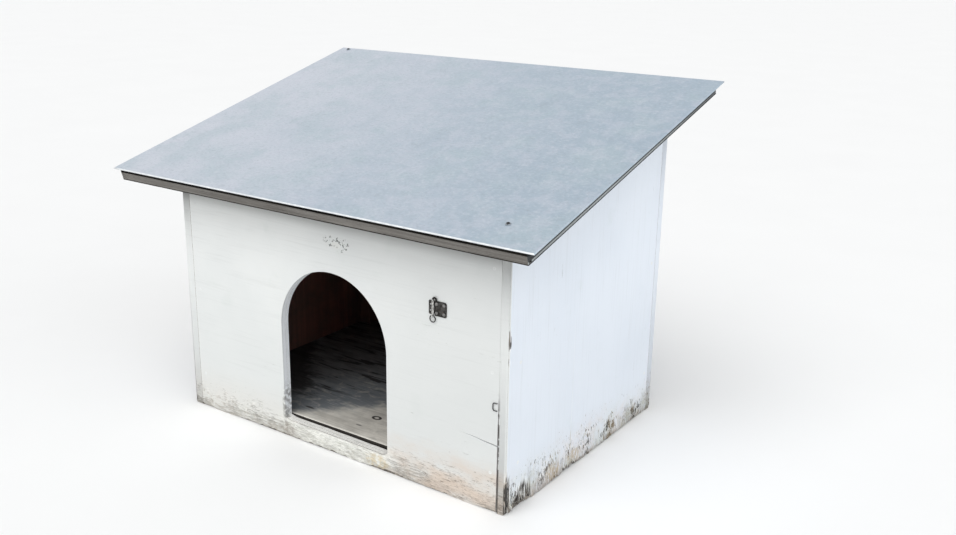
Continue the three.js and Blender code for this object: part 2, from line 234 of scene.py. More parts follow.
def wall_paint(name, grain, tint, shade, low_tone, dirt_height, dirt, seed):
    """Brushed white paint on plywood, with its grain and checks showing, dirtier near the ground."""
    s = Shade(name)
    cloud = s.noise(3.2, 4, offset=(seed, 0, 0))
    blotch = s.noise(14, 4, offset=(0, seed, 0))
    streak = s.noise(along(grain, 150, 5), 5, 0.6, offset=(seed, seed, 0), distortion=0.4)
    ridge = s.noise(along(grain, 420, 9), 3, 0.6, offset=(0, 0, seed))
    s.colour = s.mix(s.ramp(cloud, 0.3, 0.7), tint, shade)
    s.coat((0.42, 0.43, 0.42), s.ramp(streak, 0.5, 0.2), 0.16)
    s.coat((0.52, 0.60, 0.55), s.ramp(blotch, 0.58, 0.8), 0.14)
    # Darker towards the bottom.
    s.coat(low_tone, s.ramp(s.z, 0.55, 0.14), 0.36)

    low = s.plus(s.z, s.times(s.noise(9, 4, offset=(seed, 3, 1)), -0.09), 0.045)
    worn = s.ramp(low, dirt_height * 1.3, -0.01)
    fine = s.noise(along(grain, 340, 26), 4, 0.7, offset=(seed, 9, seed), distortion=0.6)
    where = s.noise(along(grain, 9, 4), 2, offset=(4, seed, 2))
    gate = s.plus(s.times(s.ramp(where, 0.35, 0.65), 0.10), s.times(worn, 0.24))
    checks = s.ramp(s.plus(fine, gate), 0.76, 0.84)
    s.coat((0.22, 0.21, 0.18), checks, 0.6)

    peel = s.noise(along(grain, 150, 40), 5, 0.7, offset=(7, seed, 5))
    bare = s.ramp(s.plus(peel, s.times(worn, 0.26)), 0.72, 0.82)
    wood = s.mix(s.noise(along(grain, 300, 10), 4, 0.6), (0.28, 0.25, 0.21), (0.52, 0.49, 0.43))
    s.coat(wood, bare, 0.6)
    warm = s.mix(s.ramp(s.noise(7, 2, offset=(seed, 0, 4)), 0.4, 0.6), (0.66, 0.52, 0.42), (0.56, 0.55, 0.42))
    mottle = s.ramp(s.noise(46, 5, 0.7, offset=(2, seed, 0)), 0.35, 0.7)
    s.coat(warm, worn, s.plus(0.22, s.times(mottle, 0.6)), dirt)
    scurf = s.noise(along(grain, 320, 80), 3, 0.65, offset=(seed, 4, 8))
    spread = s.times(worn, s.ramp(s.noise(16, 4, 0.7, offset=(8, 2, seed)), 0.40, 0.62))
    clean = s.noise(along(grain, 240, 70), 3, 0.6, offset=(3, seed, 1))
    s.coat((0.90, 0.89, 0.86), s.ramp(clean, 0.54, 0.60), s.ramp(spread, 0.1, 0.5), 0.75)
    flakes = s.ramp(s.plus(scurf, s.times(spread, 0.31)), 0.685, 0.72)
    tone = s.mix(s.ramp(blotch, 0.42, 0.58), (0.035, 0.030, 0.026), (0.20, 0.15, 0.085))
    flakes = s.times(flakes, s.ramp(worn, 0.0, 0.12), min(1.0, 1.3 * dirt))
    s.coat(tone, flakes)
    soil_edge = s.plus(s.z, s.times(s.noise(26, 5, 0.7, offset=(1, 1, seed)), -0.03))
    s.coat((0.22, 0.175, 0.13), s.ramp(soil_edge, 0.004, -0.018), 0.6, dirt)

    height = s.plus(
        s.times(streak, 0.6), s.times(ridge, 0.35), s.times(checks, -1.6),
        s.times(bare, -0.7), s.times(cloud, 1.5), s.times(flakes, -1.2),
    )
    s.done(Roughness=s.plus(0.55, s.times(blotch, 0.25)), Normal=s.bump(height, 0.4 * MM))
    return s


def corner_marks(s):
    """Rot and chipped paint round the right front corner, on both of its faces."""
    streak = s.noise((260, 260, 26), 3, 0.6, offset=(3, 1, 2))
    for centre, radii, lift in (
        ((HALF, FACE_Y, 0.036), (0.013, 0.022, 0.100), 0.17),
        ((HALF, FACE_Y + 0.068, 0.012), (0.020, 0.052, 0.070), 0.13),
        ((HALF, FACE_Y, 0.407), (0.006, 0.008, 0.026), 0.35),
    ):
        reach = s.spot(centre, radii, 0.5)
        rot = s.plus(streak, s.times(reach, lift))
        s.coat((0.34, 0.27, 0.20), reach, s.ramp(rot, 0.50, 0.62), 0.4)
        s.coat((0.93, 0.93, 0.91), s.ramp(rot, 0.56, 0.52), reach, 0.7)
        s.coat((0.020, 0.017, 0.015), s.ramp(rot, 0.615, 0.65), reach, 0.96)


def side_paint():
    """The side and back walls' paint, tinted blue as painted cool skylight, with brown specks low on the
    right side.
    """
    # These tones are bluer than the doorway wall's: painted cool skylight.
    tones = (0.79, 0.835, 0.90), (0.745, 0.795, 0.865), (0.61, 0.645, 0.695)
    s = wall_paint("side_paint", "Z", *tones, dirt_height=0.10, dirt=0.78, seed=4.3)
    speck = s.noise(along("Z", 160, 70), 4, 0.65, offset=(0, 4, 6))
    for back, height in SIDE_RUST:
        spot = s.spot((HALF, FACE_Y + back, height), (0.02, 0.050, 0.028), 0.6)
        s.coat((0.46, 0.36, 0.22), spot, s.ramp(speck, 0.42, 0.56), 0.75)
    corner_marks(s)
    return s.done()


def front_paint():
    """The doorway wall's paint, with worn flecks above the arch, a damp sill and dirty jamb feet, a painted
    shadow under the eave, painted skylight in the reveal and a painted light sill top.
    """
    tones = (0.84, 0.855, 0.845), (0.78, 0.80, 0.795), (0.585, 0.60, 0.588)
    s = wall_paint("front_paint", "X", *tones, dirt_height=0.085, dirt=0.34, seed=1.7)
    x, z = s.x, s.z
    s.coat((0.60, 0.615, 0.61), s.ramp(x, -0.20, 0.42), 0.36)
    s.coat((0.66, 0.62, 0.56), s.ramp(z, 0.15, 0.04), s.ramp(x, 0.20, -0.10), 0.30)
    # Painted shadow of the roof's overhang on the wall under the eave, kept off the side wall's edge strip.
    panel = s.ramp(x, HALF - PLY + 1 * MM, HALF - PLY - 1 * MM)
    eave_painted_shadow = s.ramp(z, EAVE_SHADE_LOW, EAVE_SHADE_HIGH)
    s.coat((0.05, 0.048, 0.045), eave_painted_shadow, panel, 0.5)
    # Painted bluish skylight on the doorway's reveal, above the sill.
    reveal_painted_skylight = s.times(s.ramp(s.y, FACE_Y + 0.8 * MM, FACE_Y + 2 * MM), s.ramp(z, SILL_Z, SILL_Z + 4 * MM))
    s.coat((0.885, 0.915, 0.97), reveal_painted_skylight, 0.6)
    cloud = s.noise((9, 9, 22), 4, 0.6, offset=(3, 0, 7))
    silt = s.times(s.ramp(x, 0.10, 0.24), s.ramp(s.plus(z, s.times(cloud, -0.07)), 0.095, 0.01))
    s.coat((0.64, 0.53, 0.44), silt, s.ramp(cloud, 0.2, 0.7), 0.85)
    scratch = s.noise(along("X", 300, 42), 4, 0.7, offset=(11, 0, 3), distortion=1.0)
    s.coat((0.17, 0.13, 0.10), s.ramp(s.plus(scratch, s.times(silt, 0.12)), 0.68, 0.73), silt, 0.7)
    patch = s.near(FLECK_CENTRE, (0.062, 0.05, 0.026))
    island = s.ramp(s.plus(patch, s.times(s.noise(55, 3, 0.6, offset=(9, 0, 0)), 1.2)), 0.78, 1.10)
    fleck = s.ramp(s.noise(150, 3, 0.55, offset=(5, 0, 0)), 0.545, 0.585)
    flecks = s.times(fleck, island, s.ramp(patch, 0.0, 0.2))
    s.coat((0.07, 0.075, 0.07), flecks, 0.9)
    scraped = s.spot(PATCH_CENTRE, (0.022, 0.05, 0.013), 0.6)
    s.coat((0.82, 0.82, 0.79), scraped, 0.6)
    sill = s.near(SILL_CENTRE, (0.27, 0.09, 0.075))
    grain = s.noise(along("X", 190, 24), 5, 0.65, offset=(0, 2, 0))
    s.coat((0.90, 0.895, 0.85), s.ramp(sill, 0.0, 0.5), 0.5)
    damp = s.times(s.ramp(sill, 0.0, 0.6), s.ramp(grain, 0.36, 0.62), 0.30)
    s.coat((0.58, 0.59, 0.49), damp)
    rough = s.noise(along("X", 260, 55), 3, 0.7, offset=(0, 5, 2), distortion=0.8)
    bright = s.times(s.ramp(sill, 0.1, 0.5), s.ramp(rough, 0.50, 0.58))
    s.coat((0.94, 0.93, 0.88), bright, 0.85)
    s.coat((0.34, 0.32, 0.25), s.ramp(sill, 0.1, 0.5), s.ramp(rough, 0.40, 0.34), 0.42)
    # The sill's top is painted near white, as painted light where the doorway's arch shades it.
    behind = s.ramp(s.y, FACE_Y + 0.4 * MM, FACE_Y + 1.2 * MM)
    sill_top_painted_light = s.times(behind, s.ramp(z, SILL_Z + 2 * MM, SILL_Z - 2 * MM))
    s.coat(s.mix(bright, (0.93, 0.92, 0.88), (1.0, 0.995, 0.97)), sill_top_painted_light)
    seam = s.ramp(s.math("ABSOLUTE", s.plus(x, PLY - HALF)), 3.4 * MM, 1.4 * MM)
    torn = s.noise((9, 9, 60), 3, 0.6, offset=(2, 2, 2))
    broken = s.ramp(s.plus(torn, s.times(s.ramp(z, 0.12, 0.04), 0.3)), 0.42, 0.50)
    s.coat((0.035, 0.030, 0.026), seam, broken, s.ramp(z, 0.30, 0.20), 0.85)
    speck = s.noise(85, 4, 0.65, offset=(0, 0, 6))
    for centre, radii, share, dirt in (
        (JAMB_FOOT, (0.012, 0.035, 0.085), 0.70, (0.17, 0.165, 0.16)),
        (JAMB_CORNER, (0.042, 0.03, 0.026), 0.60, (0.26, 0.21, 0.17)),
        (SILL_END, (0.055, 0.04, 0.030), 0.60, (0.62, 0.50, 0.28)),
    ):
        spot = s.times(s.spot(centre, radii, 0.6), s.ramp(speck, 0.38, 0.60), share)
        s.coat(dirt, spot)
    corner_marks(s)
    return s.done()


def bare_wood(name, grain, light, dark, seed, grime=0.0):
    """Unpainted timber with early and late wood, fine pores and open checks."""
    s = Shade(name)
    bend = s.noise(along(grain, 9, 1.6), 2, offset=(seed, 0, 0))
    rings = s.noise(along(grain, 70, 2.2), 4, 0.55, offset=(0, seed, 0), distortion=1.2)
    pores = s.noise(along(grain, 650, 16), 3, 0.7, offset=(0, 0, seed))
    checks = s.ramp(s.noise(along(grain, 170, 3.0), 4, 0.7, offset=(seed, 5, 0)), 0.70, 0.76)
    s.colour = s.mix(s.ramp(rings, 0.32, 0.68), dark, light)
    s.coat(dark, s.ramp(pores, 0.55, 0.35), 0.35)
    s.coat([c * 0.72 for c in light], s.ramp(bend, 0.35, 0.75), 0.3)
    s.coat([c * 0.25 for c in dark], checks, 0.8)
    if grime:
        s.coat((0.07, 0.06, 0.05), s.ramp(s.noise(11, 5, 0.65), 0.35, 0.7), grime)
    height = s.plus(s.times(rings, 0.8), s.times(pores, 0.4), s.times(checks, -2.0))
    s.done(Roughness=0.85, Normal=s.bump(height, 0.4 * MM))
    return s


def timber(*look):
    """A plain bare-wood material."""
    return bare_wood(*look).material


def floor_timber():
    """Trodden floorboard with one knot near its front edge, painted light by the doorway and painted shade
    further in and by the left wall.
    """
    s = bare_wood("floor_timber", "X", (0.74, 0.71, 0.65), (0.54, 0.515, 0.465), 3.1, grime=0.35)
    blot = s.noise((26, 40, 26), 4, 0.6, offset=(6, 1, 0), distortion=0.5)
    depth = s.plus(s.y, -floor_low.y, s.times(s.x, -1.05), s.times(blot, 0.12), -0.06)
    # A painted pool of light by the doorway, reaching deeper to the right.
    worn = s.times(s.ramp(s.x, -0.04, 0.10), s.ramp(depth, 0.16, 0.02), s.ramp(blot, 0.25, 0.6))
    s.coat((0.92, 0.88, 0.80), worn, 0.6)
    # Painted shade further in: a bluish dark band, then darker still.
    s.coat((0.125, 0.145, 0.17), s.ramp(depth, 0.14, 0.22), s.ramp(blot, 0.15, 0.50), 0.88)
    s.coat((0.115, 0.105, 0.105), s.ramp(depth, 0.32, 0.62), 0.75)
    streak = s.noise((9, 75, 9), 5, 0.6, offset=(4, 2, 0), distortion=0.6)
    s.coat((0.36, 0.37, 0.38), s.ramp(streak, 0.48, 0.60), s.ramp(depth, 0.26, 0.40), 0.26)
    s.coat((0.020, 0.017, 0.018), s.ramp(streak, 0.47, 0.40), s.ramp(depth, 0.26, 0.40), 0.9)
    # Painted shadow along the left wall, deeper in.
    corner = s.plus(s.times(s.x, -1), s.times(s.y, -0.92), 0.92 * FACE_Y, s.times(blot, 0.12), -0.06)
    s.coat((0.022, 0.018, 0.018), s.ramp(corner, 0.045, 0.11), s.ramp(depth, 0.28, 0.42), 0.88)
    scuff = s.ramp(s.noise((16, 170, 16), 4, 0.6, offset=(1, 8, 0)), 0.56, 0.70)
    s.coat((0.62, 0.61, 0.58), s.times(scuff, s.ramp(depth, 0.50, 0.24)), 0.3)
    lines = s.noise((22, 300, 22), 4, 0.65, offset=(2, 3, 0))
    s.coat((0.36, 0.33, 0.29), s.ramp(lines, 0.50, 0.36), s.ramp(depth, 0.30, 0.05), 0.4)
    knot = s.near(KNOT_CENTRE, (0.018, 0.0125, 0.02))
    s.coat((0.02, 0.016, 0.014), s.ramp(knot, 0.04, 0.16), s.ramp(knot, 0.80, 0.60), 0.95)
    for centre, radii, share in ((GOUGE_A, (0.022, 0.006, 0.02), 0.85), (GOUGE_B, (0.014, 0.005, 0.02), 0.6)):
        s.coat((0.03, 0.028, 0.027), s.spot(centre, radii, 0.5), share)
    arris = s.ramp(s.plus(s.y, s.times(s.x, -FLOOR_SKEW)), floor_low.y + 0.010, floor_low.y + 0.004)
    s.coat((0.88, 0.85, 0.79), arris, 0.6)
    return s.done()


def deck_edge(name, share):
    """Weathered edge of the roof board, grey-brown in front and paler on the right, with painted shadow lines
    on its right side faces that darken towards the back. share darkens it, as in the painted-shadow copy.
    """
    light, dark = [c * share for c in (0.235, 0.222, 0.205)], [c * share for c in (0.150, 0.140, 0.128)]
    s = bare_wood(name, "X", light, dark, 2.2, grime=0.25)
    side = s.ramp(s.x, deck_high.x - 1.6 * MM, deck_high.x - 0.8 * MM)
    s.coat((0.42, 0.45, 0.45), side, 0.8 * share)
    rise = s.plus(s.times(s.y, -SLOPE), s.z, SLOPE * FACE_Y - EAVE_Z)
    low_shadow_line = s.ramp(rise, SHADOW_LINE_LOW + 1.5 * MM, SHADOW_LINE_LOW)
    high_shadow_line = s.ramp(rise, SHADOW_LINE_HIGH - 1.5 * MM, SHADOW_LINE_HIGH)
    # Painted shadow on the right side faces: a line under the sheet's edge, one along the bottom, and darker
    # towards the back.
    lines = s.highest(s.highest(low_shadow_line, high_shadow_line), s.times(s.ramp(s.y, 0.05, 0.40), 0.6))
    s.coat((0.03, 0.032, 0.035), side, lines, 0.92)
    return s.done(Specular_IOR_Level=0.5 * share)


def roof_sheet():
    """Dull blue-grey sheet with cloudy oxidation, bloom and fine grit, and a painted sheen that makes it
    paler to the left and front.
    """
    s = Shade("roof_sheet")
    cloud = s.noise(2.6, 5, 0.6, offset=(2, 7, 0))
    mottle = s.noise(26, 6, 0.65, offset=(0, 3, 0))
    patch = s.noise(7, 4, 0.6, offset=(5, 5, 5))
    grit = s.noise(240, 3, 0.6)
    runs = s.noise((60, 2.2, 2.2), 4, 0.6, offset=(3, 0, 0))
    # A painted sheen: paler to the left and front, broken up by the cloud noise.
    across = s.plus(s.times(s.x, 0.85), s.times(cloud, 0.9), s.times(s.y, 0.18), 0.05)
    s.colour = s.mix(s.ramp(across, -0.15, 1.1), ROOF_SHEEN, ROOF_DULL)
    s.coat(ROOF_TEAL, s.ramp(patch, 0.45, 0.65), 0.5)
    s.coat((0.60, 0.61, 0.69), s.ramp(mottle, 0.44, 0.62), 0.30)
    s.coat((0.33, 0.375, 0.42), s.ramp(mottle, 0.42, 0.30), 0.22)
    s.coat((0.36, 0.42, 0.46), s.ramp(runs, 0.55, 0.75), 0.12)
    speckle = s.noise((110, 150, 130), 3, 0.6, offset=(6, 2, 9))
    s.coat((0.28, 0.33, 0.37), s.ramp(speckle, 0.48, 0.36), 0.16)
    s.coat((0.66, 0.69, 0.73), s.ramp(speckle, 0.54, 0.64), 0.22)
    s.coat((0.31, 0.35, 0.39), s.ramp(grit, 0.58, 0.68), 0.35)
    return s.done(
        Metallic=0.2,
        Roughness=s.plus(0.42, s.times(mottle, 0.22)),
        Normal=s.bump(s.plus(s.times(mottle, 0.5), s.times(grit, 0.3)), 0.15 * MM),
    )


def hem_painted_highlight():
    """The fold along the roof sheet's front edge: pale metal lightened into a painted highlight."""
    s = Shade("hem_painted_highlight")
    hem_mottle = s.noise(60, 4, 0.6)
    s.colour = s.mix(s.ramp(hem_mottle, 0.35, 0.7), (0.72, 0.75, 0.78), (0.90, 0.92, 0.93))
    return s.done(Metallic=0.2, Roughness=0.4, Normal=s.bump(hem_mottle, 0.08 * MM))


def zinc(name, dark, light, rust, roughness):
    """Weathered zinc plate with dull crystals, rubbed highlights and a little rust."""
    s = Shade(name)
    crystals = s.cells(420)
    stain = s.noise(160, 4, 0.65, offset=(1, 2, 3))
    s.colour = s.mix(s.ramp(stain, 0.35, 0.65), dark, light)
    s.coat([c * 0.7 for c in light], s.ramp(crystals, 0.2, 0.5), 0.3)
    s.coat((0.16, 0.07, 0.03), s.ramp(s.noise(300, 4, 0.7, offset=(8, 0, 1)), 0.58, 0.68), rust)
    return s.done(
        Metallic=0.85,
        Roughness=s.plus(roughness, s.times(stain, 0.25)),
        Normal=s.bump(s.plus(stain, s.times(crystals, 0.4)), 0.08 * MM),
    )


def painted_metal():
    """Screw heads brushed over with the wall paint."""
    s = Shade("painted_screw")
    brush = s.noise(180, 4, 0.6)
    s.colour = s.mix(s.ramp(brush, 0.35, 0.7), (0.74, 0.755, 0.75), (0.82, 0.835, 0.83))
    return s.done(Roughness=0.6, Normal=s.bump(brush, 0.15 * MM))


# Heights above the roof board's underside of the two painted shadow lines on its side faces.
SHADOW_LINE_LOW, SHADOW_LINE_HIGH = 1.8 * MM, 8.4 * MM

# Places of single marks, from the frame's own corners.
EAVE_SHADE_LOW, EAVE_SHADE_HIGH = 0.552, 0.592
DOOR_TOP_Z = 0.462
SILL_Z = floor_high.z
FLOOR_SKEW = 0.008
FLECK_CENTRE = (0.024, FACE_Y, DOOR_TOP_Z + 0.075)
PATCH_CENTRE = (0.020, FACE_Y, DOOR_TOP_Z + 0.070)
SILL_CENTRE = (0.0, FACE_Y, SILL_Z - 0.012)
JAMB_FOOT = (-0.166, FACE_Y + 0.014, SILL_Z + 0.030)
JAMB_CORNER = (-0.160, FACE_Y, SILL_Z - 0.028)
SILL_END = (0.135, FACE_Y, SILL_Z - 0.030)
KNOT_CENTRE = (0.0218, FACE_Y + 0.1333, floor_high.z)
GOUGE_A = (-0.1565, FACE_Y + 0.079, floor_high.z)
GOUGE_B = (0.0122, FACE_Y + 0.076, floor_high.z)
SIDE_RUST = ((0.196, 0.028), (0.291, 0.028))  # behind the doorway wall's face, and up
ROOF_SHEEN, ROOF_DULL, ROOF_TEAL = (0.585, 0.62, 0.685), (0.385, 0.465, 0.545), (0.43, 0.52, 0.57)

MATERIALS = {
    "front_paint": front_paint(),
    "side_paint": side_paint(),
    "inner_timber": timber("inner_timber", "Z", (0.25, 0.105, 0.075), (0.155, 0.065, 0.050), 6.4, 0.65),
    "rotten_wood": timber("rotten_wood", "Z", (0.50, 0.45, 0.39), (0.020, 0.016, 0.013), 8.8, 0.6),
    "floor_timber": floor_timber(),
    "bearer_timber": timber("bearer_timber", "Y", (0.30, 0.24, 0.18), (0.17, 0.13, 0.10), 5.5, 0.3),
    "deck_timber": deck_edge("deck_timber", 1.0),
    "deck_shadow": deck_edge("deck_shadow", 0.05),
    # The floor's front face: damp wood, near black as painted shade in the slot behind the sill.
    "damp_and_shaded_edge": timber("damp_and_shaded_edge", "X", (0.040, 0.034, 0.028), (0.016, 0.013, 0.011), 7.7),
    "roof_sheet": roof_sheet(),
    "hem_painted_highlight": hem_painted_highlight(),
    "zinc": zinc("zinc", (0.010, 0.010, 0.009), (0.115, 0.11, 0.105), 0.35, 0.35),
    "worn_zinc_and_highlight": zinc("worn_zinc_and_highlight", (0.30, 0.295, 0.28), (0.72, 0.71, 0.69), 0.15, 0.30),
    "bright_wire": zinc("bright_wire", (0.60, 0.59, 0.58), (0.92, 0.91, 0.89), 0.1, 0.22),
    "dark_wire": zinc("dark_wire", (0.008, 0.008, 0.007), (0.05, 0.047, 0.044), 0.3, 0.42),
    "dull_zinc": zinc("dull_zinc", (0.42, 0.47, 0.52), (0.56, 0.61, 0.66), 0.1, 0.45),
    "screw_zinc": zinc("screw_zinc", (0.10, 0.10, 0.10), (0.46, 0.45, 0.44), 0.2, 0.35),
    "dark_screw": zinc("dark_screw", (0.04, 0.04, 0.045), (0.12, 0.12, 0.12), 0.2, 0.45),
    "painted_screw": painted_metal(),
}

# ---------------------------------------------------------------- mesh helpers


def linked(name, data):
    """A new object in the scene."""
    made = bpy.data.objects.new(name, data)
    bpy.context.scene.collection.objects.link(made)
    return made


def new_object(name, mesh, placement=Matrix.Identity(4)):
    mesh.transform(placement)
    return linked(name, mesh)


def mesh_of(work, name):
    """The mesh that a bmesh holds. The bmesh is freed."""
    mesh = bpy.data.meshes.new(name)
    work.to_mesh(mesh)
    work.free()
    return mesh


def finish_piece(made, body, nodes, materials):
    """Gives a piece its materials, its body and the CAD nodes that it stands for."""
    for key in materials:
        made.data.materials.append(MATERIALS[key])
    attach(made, body)
    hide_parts(*nodes)
    return made


def curve_mesh(curve, lift=0.0):
    """The mesh of a curve, raised along Z, with its seams merged and its faces turned outwards."""
    holder = linked(curve.name, curve)
    bpy.context.view_layer.update()
    mesh = bpy.data.meshes.new_from_object(holder.evaluated_get(bpy.context.evaluated_depsgraph_get()))
    bpy.data.objects.remove(holder)
    bpy.data.curves.remove(curve)
    work = bmesh.new()
    work.from_mesh(mesh)
    bmesh.ops.remove_doubles(work, verts=work.verts, dist=0.01 * MM)
    bmesh.ops.recalc_face_normals(work, faces=work.faces)
    bmesh.ops.translate(work, verts=work.verts, vec=(0, 0, lift))
    work.to_mesh(mesh)
    work.free()
    return mesh


def add_line(curve, points, closed):
    """A straight-sided line through the points, on a curve."""
    spline = curve.splines.new("POLY")
    spline.points.add(len(points) - 1)
    for target, point in zip(spline.points, points):
        target.co = (*Vector(point).to_3d(), 1)
    spline.use_cyclic_u = closed


def plate_mesh(loops, low, high, bevel):
    """A board's mesh between two heights, from closed loops: its outline first, then its holes."""
    curve = bpy.data.curves.new("outline", "CURVE")
    curve.dimensions = "2D"
    curve.fill_mode = "BOTH"
    curve.extrude = (high - low) / 2 - bevel
    curve.bevel_depth = bevel
    curve.bevel_resolution = 0
    curve.offset = -bevel
    for loop in loops:
        add_line(curve, loop, closed=True)
    return curve_mesh(curve, (low + high) / 2)


def circle_loop(cx, cy, radius, count=24):
    """Points round a circle, counter-clockwise."""
    turns = [2 * math.pi * i / count for i in range(count)]
    return [(cx + radius * math.cos(a), cy + radius * math.sin(a)) for a in turns]


def round_corner(cx, cy, radius, start):
    """Points of a quarter circle, counter-clockwise from a starting angle in degrees."""
    angles = [math.radians(start + 90 * i / 8) for i in range(9)]
    return [(cx + radius * math.cos(a), cy + radius * math.sin(a)) for a in angles]


def joined(meshes):
    """Several meshes as one."""
    work = bmesh.new()
    for mesh in meshes:
        work.from_mesh(mesh)
    whole = mesh_of(work, "whole")
    for mesh in meshes:
        bpy.data.meshes.remove(mesh)
    return whole


def rough_line(start, end, step, depth, seed):
    """Points from start to end, pushed unevenly to the left of travel, by depth at most."""
    start, end = Vector(start), Vector(end)
    run = end - start
    count = max(2, round(run.length / step))
    inward = Vector((-run.y, run.x)).normalized()
    points = []
    for i in range(count):
        t = i / count
        place = start + run * t
        coarse = noise.noise(Vector((place.x * 9, place.y * 9, seed)))
        fine = noise.noise(Vector((place.x * 70, place.y * 70, seed + 5)))
        share = min(1, max(0, 0.45 + 0.9 * coarse + 0.5 * fine))
        points.append(tuple(place + inward * (depth * share)))
    return points


BOARD_MATERIALS = ("side_paint", "inner_timber", "rotten_wood", "front_paint")


def plies(name, outlines, thickness, placement, outside=0):
    """A plywood board built from its plies, the first one innermost. Each ply has its own loops.

    Material numbers follow BOARD_MATERIALS. Edges that face the front take the doorway wall's paint.
    """
    count = len(outlines)
    layer = thickness / count
    meshes = []
    for k, loops in enumerate(outlines):
        meshes.append(plate_mesh(loops, k * layer, (k + 1) * layer, 0.04 * MM if k < count - 1 else 0.4 * MM))
    mesh = joined(meshes)
    for face in mesh.polygons:
        height = face.center.z
        if face.normal.z < -0.5 and height < 0.1 * MM:
            face.material_index = 1
        elif abs(face.normal.z) > 0.9 and height < thickness - 0.6 * MM:
            face.material_index = 2
        else:
            face.material_index = outside
    made = new_object(name, mesh, placement)
    for face in made.data.polygons:
        if face.material_index == 0 and face.normal.y < -0.6:
            face.material_index = 3
    return made


def trim_under_roof(made, gap=0.3 * MM):
    """Lowers a board's top vertices to the roof's underside."""
    for v in made.data.vertices:
        v.co.z = min(v.co.z, roof_z(v.co.y) - gap)


# ---------------------------------------------------------------- walls

DOOR_HALF = 0.166
DOOR_SPRING_Z = 0.296
PLY_COUNT = 7


def door_loop(grow, wear):
    """The doorway's outline, a little uneven from the saw. grow widens it and wear lowers the sill."""
    half = DOOR_HALF + grow
    sill = SILL_Z - grow
    loop = [(-half, sill)]
    for i in range(1, 40):
        x = -half + 2 * half * i / 40
        ease = min(1, 12 * (1 - abs(x) / half))
        dip = wear * ease * (1 + 0.22 * x / half + 0.16 * noise.noise(Vector((x * 22, wear * 90, 1))))
        loop.append((x, sill - dip))
    loop.append((half, sill))
    for i in range(49):
        angle = math.pi * i / 48
        wobble = 0.6 * MM * noise.noise(Vector((math.cos(angle) * 3, math.sin(angle) * 3, 0.5)))
        loop.append(((half + wobble) * math.cos(angle), DOOR_SPRING_Z + (half + wobble) * math.sin(angle)))
    return loop


def split(tip, mouth_low, mouth_high, bends):
    """Points of a thin crack from an edge: in along one side, round the tip and out along the other."""
    (x0, y0), (x1, y1) = tip, mouth_low
    inward = [(x1 + (x0 - x1) * t, y1 + (y0 - y1) * t + shift) for t, shift in bends]
    gap = mouth_high[1] - mouth_low[1]
    outward = [(x, y + gap * (1 - t)) for (x, y), (t, _) in zip(inward, bends)]
    return [mouth_low, *inward, tip, *reversed(outward), mouth_high]


SILL_WEAR = (5.0, 5.1, 5.2, 5.4, 5.7, 6.1, 6.8)


def front_wall():
    """The doorway wall, its crack at the right edge, its worn sill and its ragged foot."""
    left, right = front_low.x, front_high.x
    top = front_high.z
    crack_z = 0.160
    outlines = []
    for k in range(PLY_COUNT):
        outer = k == PLY_COUNT - 1
        open_depth = max(0, k - PLY_COUNT + 4) / 3
        depth = 8 * MM if outer else 1.5 * MM
        foot = rough_line((left, 0), (right, 0), 6 * MM, depth, 3.1 + (40 if outer else k))
        edge = [(right, top)]
        if open_depth > 0:
            mouth = 3.2 * MM * open_depth
            inset = right - 1.9 * MM * open_depth
            crack = split(
                (right - 0.105 * open_depth, crack_z + 0.010),
                (inset, crack_z),
                (inset, crack_z + mouth),
                [(0.15, 0.6 * MM), (0.35, 0.2 * MM), (0.6, 1.5 * MM), (0.8, 1.0 * MM)],
            )
            worn = inset - 1.6 * MM * open_depth
            lower = rough_line((worn, 4 * MM), (inset, crack_z - 6 * MM), 7 * MM, 1.4 * MM, 9.2)
            upper = rough_line((inset, crack_z + 9 * MM), (right - 0.4 * MM, 0.27), 7 * MM, 0.9 * MM, 11.5)
            edge = [*lower, *crack, *upper, (right, 0.275), (right, top)]
        outline = [*foot, (right - 4 * MM * open_depth, 2 * MM), *edge, (left, top)]
        outlines.append([outline, door_loop(0.15 * MM * math.sin(k * 2.4), SILL_WEAR[k] * MM)])
    placement = Matrix.Translation((0, FACE_Y + PLY, 0)) @ FACING_FRONT
    made = plies("doorway_wall", outlines, PLY, placement, outside=3)
    trim_under_roof(made)
    return finish_piece(made, "hutch", ["front_panel"], BOARD_MATERIALS)


def foot_with_rot(start, end, depth, seed, pockets):
    """A ragged foot with deeper splintered pockets, each given by its centre, half width and height."""
    points = []
    for x, y in rough_line(start, end, 2 * MM, depth, seed):
        for centre, half, height in pockets:
            share = max(0, 1 - abs(x - centre) / half)
            fine, coarse = (noise.noise(Vector(at)) for at in ((x * 330, seed, 2), (x * 90, 3, seed)))
            jag = 0.55 + 0.9 * fine + 0.35 * coarse
            y = max(y, height * min(1, 1.8 * share) * max(0.12, jag))
        points.append((x, y))
    return points


